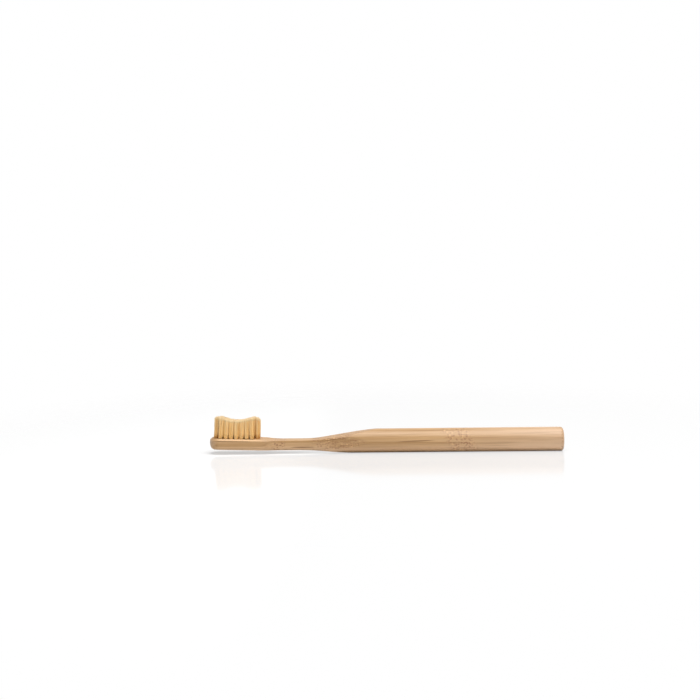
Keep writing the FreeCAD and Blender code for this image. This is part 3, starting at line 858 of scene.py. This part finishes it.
def bamboo_material(colours):
    """Bamboo, turned and sanded: pale tissue with long honey streaks and thin brown fibre bundles that run
    along the stick. At the node, where the neck starts and where a cut crosses them, the bundles show as
    short flecks. The sanded surface has a soft satin sheen."""
    material, add = new_material("Bamboo turned and sanded")
    coordinates = add("ShaderNodeTexCoord").outputs
    place = coordinates["Object"]
    axes = add("ShaderNodeSeparateXYZ", [place]).outputs

    # The grain wanders a little to the sides along the stick
    wander = pattern(add, "ShaderNodeTexNoise", place, WANDER_GRAIN, Detail=1.0)
    wander_middle = add("ShaderNodeVectorMath",
                        [wander.outputs["Color"], (0.5, 0.5, 0.5)], operation="SUBTRACT")
    wander_shift = add("ShaderNodeVectorMath",
                       [wander_middle, (0.0, GRAIN_WANDER, GRAIN_WANDER)], operation="MULTIPLY")
    grain = add("ShaderNodeVectorMath", [place, wander_shift], operation="ADD")

    # Broad honey streaks
    broad = pattern(add, "ShaderNodeTexNoise", grain, HONEY_GRAIN, Detail=4.0, Roughness=0.62)
    honey = add("ShaderNodeMapRange", [broad.outputs["Fac"], *HONEY_RANGE, 0.0, 1.0])

    # Bundles of fibre
    bundle = pattern(add, "ShaderNodeTexVoronoi", grain, BUNDLE_GRAIN)
    fibre = add("ShaderNodeMapRange", [bundle.outputs["Distance"], *BUNDLE_RANGE, 1.0, 0.0])

    # Sparse darker streaks, and the few that can be told apart, one of them partly and one wholly painted
    # shade, and the painted highlight along the head's bevel
    dark = pattern(add, "ShaderNodeTexNoise", grain, DARK_GRAIN, Detail=2.0)
    sparse = add("ShaderNodeMapRange", [dark.outputs["Fac"], *DARK_RANGE, 0.0, DARK_SHARE])
    dark_streaks_and_shade = streaked(add, place, sparse, DARK_STREAKS_AND_SHADE)
    painted_highlight = streaked(add, place, 0.0, PAINTED_HIGHLIGHTS)

    # A cut slants across the bundles, and the butt and the tip show them end on
    facing = add("ShaderNodeSeparateXYZ", [coordinates["Normal"]]).outputs
    across = add("ShaderNodeMath", [facing["X"]], operation="ABSOLUTE")
    crossed = add("ShaderNodeMapRange", [across, *CUT_RANGE, 0.0, 1.0])
    not_end_on = add("ShaderNodeMapRange", [across, *CUT_END_RANGE, 1.0, CUT_END_SHARE])
    at_cut = add("ShaderNodeMath", [crossed, not_end_on], operation="MULTIPLY")
    # Paler where the surface faces the tip or the butt
    facing_end = add("ShaderNodeMapRange", [across, *FACING_END_RANGE, 0.0, 1.0])

    # Short flecks, at the cuts past the neck and in the patches
    past_neck = add("ShaderNodeMapRange", [axes["X"], CUT_FLECKS_START, CUT_FLECKS_FULL, 0.0, 1.0])
    zone = add("ShaderNodeMath", [at_cut, past_neck], operation="MULTIPLY")
    for patch_place, core, half_length, lean in FLECK_PATCHES:
        upright = add("ShaderNodeMath", [axes["Z"], lean, axes["X"]], operation="MULTIPLY_ADD")
        from_patch = add("ShaderNodeMath", [upright, patch_place], operation="SUBTRACT")
        patch_away = add("ShaderNodeMath", [from_patch], operation="ABSOLUTE")
        in_patch = add("ShaderNodeMapRange",
                       [patch_away, core, half_length, 1.0, 0.0], interpolation_type="SMOOTHSTEP")
        zone = add("ShaderNodeMath", [zone, in_patch], operation="MAXIMUM")
    fleck = pattern(add, "ShaderNodeTexVoronoi", grain, FLECK_GRAIN)
    fleck_core = add("ShaderNodeMapRange", [fleck.outputs["Distance"], *FLECK_RANGE, 1.0, 0.0])
    fleck_zone = add("ShaderNodeMath", [fleck_core, zone], operation="MULTIPLY")
    draw = add("ShaderNodeSeparateColor", [fleck.outputs["Color"]]).outputs["Red"]
    drawn_dark = add("ShaderNodeMapRange", [draw, *DARK_DRAW, 0.0, 1.0])
    drawn_pale = add("ShaderNodeMapRange", [draw, *PALE_DRAW, 0.0, 1.0])
    flecks = add("ShaderNodeMath", [fleck_zone, drawn_dark], operation="MULTIPLY")
    pale_flecks = add("ShaderNodeMath", [fleck_zone, drawn_pale], operation="MULTIPLY")

    # Colour: pale tissue, then each layer over the ones before it, by its share
    to_butt = add("ShaderNodeMapRange", [axes["X"], PALER_START, PALER_FULL, 0.0, 1.0])
    # Painted light: paler low on the stick, where the white floor throws light up at it
    painted_floor_light = add("ShaderNodeMapRange",
                [axes["Z"], FLOOR_LIGHT_START, FLOOR_LIGHT_FULL, 0.0, 1.0], interpolation_type="SMOOTHSTEP")
    shade = (*colours.bamboo_pale, 1)
    for mask, share, colour in (
            (honey, 1.0, colours.bamboo_honey),
            (to_butt, 0.75, colours.bamboo_blush_and_floor_light),
            # Painted light low on the stick
            (painted_floor_light, 0.5, colours.bamboo_blush_and_floor_light),
            (fibre, 0.33, colours.bamboo_fibre_and_shade),
            (at_cut, 0.08, colours.bamboo_fibre_and_shade),
            # Dark streaks, one of them partly and one wholly painted shade
            (dark_streaks_and_shade, 0.75, colours.bamboo_fibre_and_shade),
            # Painted highlight along the bevel of the head's face
            (painted_highlight, 0.8, colours.bamboo_fleck_and_highlight),
            (facing_end, 0.5, colours.bamboo_blush_and_floor_light),
            (pale_flecks, 0.8, colours.bamboo_fleck_and_highlight),
            (flecks, 0.8, colours.bamboo_fleck)):
        amount = add("ShaderNodeMath", [mask, share], operation="MULTIPLY")
        shade = add("ShaderNodeMix", {SHARE: amount, UNDER: shade, OVER: (*colour, 1)}, data_type="RGBA")

    # Surface: satin, a little duller on the honey streaks, with a fine raised grain
    rough = add("ShaderNodeMapRange", [broad.outputs["Fac"], *NOISE_RANGE, *BAMBOO_ROUGHNESS])
    raised = add("ShaderNodeMath", [fibre, flecks], operation="ADD")
    bump = add("ShaderNodeBump", {"Strength": GRAIN_STRENGTH, "Distance": GRAIN_HEIGHT, "Height": raised})
    shader = add("ShaderNodeBsdfPrincipled",
                 {"Base Color": shade, "Roughness": rough, "Normal": bump, "IOR": BAMBOO_IOR})
    add("ShaderNodeOutputMaterial", {"Surface": shader})
    return material


# Nylon: the shares of a bristle's height between which it grows paler, which is painted light standing in
# for the lamp above lighting the upper bristles more, its share of the pale colour at those two, and the
# most that its own tone adds
PAINTED_LIGHT_HEIGHTS = (0.3, 0.85)
PAINTED_LIGHT_SHARES = (0.05, 0.25)
TONE_SHARE = 0.5

# The colour of the tip starts and is in full at these shares of the height, and covers this much
TIP_HEIGHTS = (0.88, 0.97)
TIP_COVER = 0.8

# Drawn nylon: roughness of the glossiest and of the dullest bristles, index of refraction, and gloss
NYLON_ROUGHNESS = (0.32, 0.45)
NYLON_IOR = 1.53
NYLON_GLOSS = 0.25


def nylon_material(colours):
    """Nylon filament, drawn and end-rounded: smooth golden threads, each a little lighter or deeper than
    its neighbour, painted paler towards the tip where the lamp above lights them more, with duller rounded
    ends and a soft gloss."""
    material, add = new_material("Nylon filament drawn and end-rounded")
    tone, along = [add("ShaderNodeAttribute", attribute_name=label).outputs["Fac"]
                   for label in ("tone", "along")]
    # Painted light: paler up the bristle, where the lamp above lights it more
    paler = add("ShaderNodeMapRange", [along, *PAINTED_LIGHT_HEIGHTS, *PAINTED_LIGHT_SHARES])
    own = add("ShaderNodeMath", [tone, TONE_SHARE, paler], operation="MULTIPLY_ADD")
    body = add("ShaderNodeMix",
               {SHARE: own, UNDER: (*colours.nylon_gold, 1), OVER: (*colours.nylon_pale_and_lit, 1)},
               data_type="RGBA")
    at_tip = add("ShaderNodeMapRange", [along, *TIP_HEIGHTS, 0.0, TIP_COVER])
    colour = add("ShaderNodeMix",
                 {SHARE: at_tip, UNDER: body, OVER: (*colours.nylon_tip, 1)}, data_type="RGBA")
    rough = add("ShaderNodeMapRange", [tone, 0.0, 1.0, *NYLON_ROUGHNESS])
    shader = add("ShaderNodeBsdfPrincipled",
                 {"Base Color": colour, "Roughness": rough, "IOR": NYLON_IOR,
                  "Specular IOR Level": NYLON_GLOSS})
    add("ShaderNodeOutputMaterial", {"Surface": shader})
    return material


# Brass: the grain of the rolling in millimetres, what dulled brass throws back as a share of what bright
# brass does, the most of it that shows, and the roughness where it is smoothest and dullest
ROLLING_GRAIN = (1.5, 1.5, 0.06)
DULLED_BRASS = 0.6
DULL_SHARE = 0.35
BRASS_ROUGHNESS = (0.25, 0.45)


def brass_material(colours):
    """Brass strip, rolled: warm yellow metal with fine lines along the rolling and duller patches."""
    material, add = new_material("Brass strip rolled")
    place = add("ShaderNodeTexCoord").outputs["Object"]
    lines = pattern(add, "ShaderNodeTexNoise", place, ROLLING_GRAIN, Detail=3.0).outputs["Fac"]
    dull = add("ShaderNodeMapRange", [lines, *NOISE_RANGE, 0.0, DULL_SHARE])
    dulled = [DULLED_BRASS * part for part in colours.brass]
    colour = add("ShaderNodeMix",
                 {SHARE: dull, UNDER: (*colours.brass, 1), OVER: (*dulled, 1)}, data_type="RGBA")
    rough = add("ShaderNodeMapRange", [lines, *NOISE_RANGE, *BRASS_ROUGHNESS])
    shader = add("ShaderNodeBsdfPrincipled", {"Base Color": colour, "Roughness": rough, "Metallic": 1.0})
    add("ShaderNodeOutputMaterial", {"Surface": shader})
    return material


# Stage: a square floor that fades into the white background between these distances from the brush
FLOOR_HALF_SIZE = 0.6
FADE_START = 0.13
FADE_END = 0.34

# The floor's mirror, and its faint clouds: their size in millimetres, their grey and the most that it shows
FLOOR_GLOSS = 0.24
FLOOR_GLOSS_ROUGHNESS = 0.1
CLOUD_GRAIN = (500, 500, 500)
CLOUD_GREY = 0.9
CLOUD_SHARE = 0.02

# Painted light: a glow that only the camera sees lightens the brush's shadow on the sheet, more along the
# grip than under the head, and changes between these places
SHADOW_FILL_AT_HEAD = 0.45
SHADOW_FILL_AT_GRIP = 0.78
SHADOW_FILL_START = -60.0 * MM
SHADOW_FILL_FULL = -25.0 * MM

# Share of the light that the floor throws back up at the brush: little close under it, most further out.
# The dark floor close under the brush is painted shade, standing in for the contact shadow on the grip's
# underside
BOUNCE_NEAR = 0.15
BOUNCE_FAR = 0.95
NEAR_REACH = 3.0 * MM
FAR_REACH = 7.0 * MM


def seen_as_background(add):
    """One where the camera, gloss or glass sees the surface, and zero where it only gives light."""
    path = add("ShaderNodeLightPath").outputs
    seen = add("ShaderNodeMath", [path["Is Camera Ray"], path["Is Glossy Ray"]], operation="MAXIMUM")
    return add("ShaderNodeMath", [seen, path["Is Transmission Ray"]], operation="MAXIMUM")


def floor_material(colours):
    """Acrylic sheet, cast white: a matt white body with a faint mirror on top, and a glow that only the
    camera sees, which is painted light that lightens the brush's shadow on it, more along the grip than
    under the head. Away from the brush it lets the white background through, so that no edge of it shows.
    It throws little light up from close under the brush, and more from further out, which is painted shade
    on the grip's underside standing in for its contact shadow."""
    material, add = new_material("Acrylic sheet cast white")
    place = add("ShaderNodeTexCoord").outputs["Object"]
    axes = add("ShaderNodeSeparateXYZ", [place]).outputs
    cloud = pattern(add, "ShaderNodeTexNoise", place, CLOUD_GRAIN, Detail=1.0)
    tint = add("ShaderNodeMapRange", [cloud.outputs["Fac"], *NOISE_RANGE, 0.0, CLOUD_SHARE])
    clouded = add("ShaderNodeMix",
                  {SHARE: tint, UNDER: (*colours.floor, 1), OVER: (CLOUD_GREY, CLOUD_GREY, CLOUD_GREY, 1)},
                  data_type="RGBA")
    # Painted shade: the floor close under the brush's axis throws little light up at it
    off_axis = add("ShaderNodeMath", [axes["Y"]], operation="ABSOLUTE")
    bounce = add("ShaderNodeMapRange", [off_axis, NEAR_REACH, FAR_REACH, BOUNCE_NEAR, BOUNCE_FAR])
    colour = add("ShaderNodeMix",
                 {SHARE: seen_as_background(add), UNDER: bounce, OVER: clouded}, data_type="RGBA")
    body = add("ShaderNodeBsdfDiffuse", {"Color": colour})
    # Painted light: the camera alone sees this glow, which lightens the brush's shadow on the floor
    shadow_fill_along = add("ShaderNodeMapRange",
                     [axes["X"], SHADOW_FILL_START, SHADOW_FILL_FULL, SHADOW_FILL_AT_HEAD, SHADOW_FILL_AT_GRIP],
                     interpolation_type="SMOOTHSTEP")
    by_camera = add("ShaderNodeLightPath").outputs["Is Camera Ray"]
    shadow_fill_share = add("ShaderNodeMath", [by_camera, shadow_fill_along], operation="MULTIPLY")
    glow = add("ShaderNodeEmission", {"Color": (1, 1, 1, 1), "Strength": 1.0})
    lit = add("ShaderNodeMixShader", [shadow_fill_share, body, glow])
    gloss = add("ShaderNodeBsdfGlossy", {"Roughness": FLOOR_GLOSS_ROUGHNESS})
    sheet = add("ShaderNodeMixShader", [FLOOR_GLOSS, lit, gloss])
    away = add("ShaderNodeVectorMath", [place], operation="LENGTH")
    fade = add("ShaderNodeMapRange",
               [away, FADE_START, FADE_END, 0.0, 1.0], interpolation_type="SMOOTHSTEP")
    faded = add("ShaderNodeMixShader", [fade, sheet, add("ShaderNodeBsdfTransparent")])
    add("ShaderNodeOutputMaterial", {"Surface": faded})
    return material


# Camera: the picture is 700 by 700, and the brush's middle lies at this place in it
PICTURE_SIZE = 700
BRUSH_IN_PICTURE = (385.3, 440.1)
BRUSH_MIDDLE = Vector((0.0, 0.0, 6.0 * MM))
CAMERA_DISTANCE = 0.6
CAMERA_AZIMUTH = math.radians(-1.11)
CAMERA_ELEVATION = math.radians(9.02)
CAMERA_ROLL = math.radians(0.78)
FOCAL_PIXELS = 1173.0
SENSOR_WIDTH = 36.0
NEAREST_SEEN = 0.01

# Light: one large soft lamp high over the brush, and a weak light from all round
KEY_PLACE = Vector((0.14, -0.17, 0.94))
KEY_SIZE = 0.8
KEY_POWER = 13.4
AMBIENT_STRENGTH = 0.15


def set_up(name, data, place, turn):
    """Puts a camera or a lamp in the scene."""
    holder = bpy.data.objects.new(name, data)
    bpy.context.scene.collection.objects.link(holder)
    holder.location = place
    holder.rotation_mode = "QUATERNION"
    holder.rotation_quaternion = turn
    return holder


def add_camera():
    """A camera at the photograph's height and side, turned so that the brush lies low and to the right."""
    camera = bpy.data.cameras.new("camera")
    camera.sensor_width = SENSOR_WIDTH
    camera.lens = FOCAL_PIXELS * SENSOR_WIDTH / PICTURE_SIZE
    camera.clip_start = NEAREST_SEEN
    level = math.cos(CAMERA_ELEVATION)
    look = Vector((math.sin(CAMERA_AZIMUTH) * level, math.cos(CAMERA_AZIMUTH) * level,
                   -math.sin(CAMERA_ELEVATION)))
    across, down = [(pixel - PICTURE_SIZE / 2) / FOCAL_PIXELS for pixel in BRUSH_IN_PICTURE]
    aim = Vector((across, -down, -1))
    turned = look.to_track_quat("-Z", "Y") @ aim.rotation_difference(Vector((0, 0, -1)))
    bpy.context.scene.camera = set_up("camera", camera, BRUSH_MIDDLE - look * CAMERA_DISTANCE,
                                      Quaternion(look, CAMERA_ROLL) @ turned)


def add_key_lamp():
    """A soft square lamp that points at the floor under the brush's middle."""
    lamp = bpy.data.lights.new("key", "AREA")
    lamp.size = KEY_SIZE
    lamp.energy = KEY_POWER
    set_up("key", lamp, KEY_PLACE, (-KEY_PLACE).to_track_quat("-Z", "Y"))


def set_world():
    """White where the camera, gloss or glass sees it, and a weak grey light on everything else."""
    world = bpy.data.worlds.new("studio")
    world.use_nodes = True
    world.node_tree.nodes.clear()
    add = partial(add_node, world.node_tree)
    strength = add("ShaderNodeMapRange", [seen_as_background(add), 0.0, 1.0, AMBIENT_STRENGTH, 1.0])
    light = add("ShaderNodeBackground", {"Color": (1, 1, 1, 1), "Strength": strength})
    add("ShaderNodeOutputWorld", {"Surface": light})
    bpy.context.scene.world = world


# Edges of the stick that turn by more than this, such as the rims of the holes, stay sharp
SHARP_FROM = math.radians(40)


class TOOTHBRUSH_OT_handle(bpy.types.Operator):
    """Build the bamboo stick with its head, neck, grip and drilled holes"""

    bl_idname = "toothbrush.handle"
    bl_label = "Bamboo handle"

    def execute(self, context):
        scene = context.scene
        sizes = handle_sizes(scene.brush_handle, scene.brush_bristles)
        field = tuft_field_tree(scene.brush_bristles)
        tree = handle_tree(sizes, field, bamboo_material(scene.brush_colours))
        stick = shaped("bamboo_handle", tree, sizes)
        stick.data.set_sharp_from_angle(angle=SHARP_FROM)
        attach(stick, "root")
        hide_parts("handle")
        return {"FINISHED"}


class TOOTHBRUSH_OT_bristles(bpy.types.Operator):
    """Build every bristle of every tuft, trimmed to the wave along the head"""

    bl_idname = "toothbrush.bristles"
    bl_label = "Nylon bristles"

    def execute(self, context):
        scene = context.scene
        sizes = bristle_sizes(scene.brush_handle, scene.brush_bristles)
        field = tuft_field_tree(scene.brush_bristles)
        tree = bristle_tree(sizes, field, nylon_material(scene.brush_colours))
        brush = shaped("nylon_bristles", tree, sizes)
        for label in ("tuft", "spread", "sway"):
            brush.data.attributes.remove(brush.data.attributes[label])
        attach(brush, "root")
        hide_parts(*[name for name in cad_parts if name.startswith("tuft_row")])
        return {"FINISHED"}


class TOOTHBRUSH_OT_anchors(bpy.types.Operator):
    """Give the anchors, which sit in the holes under the bristles, their rolled brass"""

    bl_idname = "toothbrush.anchors"
    bl_label = "Brass anchors"

    def execute(self, context):
        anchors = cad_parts["tuft_anchors"]
        brass = brass_material(context.scene.brush_colours)
        for slot in anchors.material_slots:
            slot.material = brass
        return {"FINISHED"}


class TOOTHBRUSH_OT_stage(bpy.types.Operator):
    """Set the floor, the light and the camera"""

    bl_idname = "toothbrush.stage"
    bl_label = "Stage"

    def execute(self, context):
        reach = FLOOR_HALF_SIZE
        mesh = bpy.data.meshes.new("floor")
        mesh.from_pydata([(-reach, -reach, 0), (reach, -reach, 0), (reach, reach, 0), (-reach, reach, 0)],
                         [], [(0, 1, 2, 3)])
        mesh.materials.append(floor_material(context.scene.brush_colours))
        floor = bpy.data.objects.new("floor", mesh)
        context.scene.collection.objects.link(floor)
        set_world()
        add_key_lamp()
        add_camera()
        context.scene.view_settings.view_transform = "Standard"
        return {"FINISHED"}


class TOOTHBRUSH_PT_sidebar(bpy.types.Panel):
    """Sizes, colours and building steps of the toothbrush"""

    bl_idname = "TOOTHBRUSH_PT_sidebar"
    bl_label = "Toothbrush"
    bl_space_type = "VIEW_3D"
    bl_region_type = "UI"
    bl_category = "Toothbrush"

    def draw(self, context):
        layout = self.layout
        scene = context.scene
        for operator in OPERATORS:
            layout.operator(operator.bl_idname)
        for title, group in (("Handle", scene.brush_handle), ("Bristles", scene.brush_bristles),
                             ("Colours", scene.brush_colours)):
            box = layout.box()
            box.label(text=title)
            for label in group.__annotations__:
                box.prop(group, label)


OPERATORS = (TOOTHBRUSH_OT_handle, TOOTHBRUSH_OT_bristles, TOOTHBRUSH_OT_anchors, TOOTHBRUSH_OT_stage)
CLASSES = (HandleSizes, BristleSizes, BrushColours, *OPERATORS, TOOTHBRUSH_PT_sidebar)


def register():
    """Adds the classes, and the brush's sizes and colours to each scene."""
    for kind in CLASSES:
        bpy.utils.register_class(kind)
    bpy.types.Scene.brush_handle = PointerProperty(type=HandleSizes)
    bpy.types.Scene.brush_bristles = PointerProperty(type=BristleSizes)
    bpy.types.Scene.brush_colours = PointerProperty(type=BrushColours)


def unregister():
    """Takes away what register adds."""
    del bpy.types.Scene.brush_handle
    del bpy.types.Scene.brush_bristles
    del bpy.types.Scene.brush_colours
    for kind in reversed(CLASSES):
        bpy.utils.unregister_class(kind)


def main():
    """Builds the brush and its stage."""
    register()
    bpy.ops.toothbrush.handle()
    bpy.ops.toothbrush.bristles()
    bpy.ops.toothbrush.anchors()
    bpy.ops.toothbrush.stage()


if __name__ == "__main__":
    main()
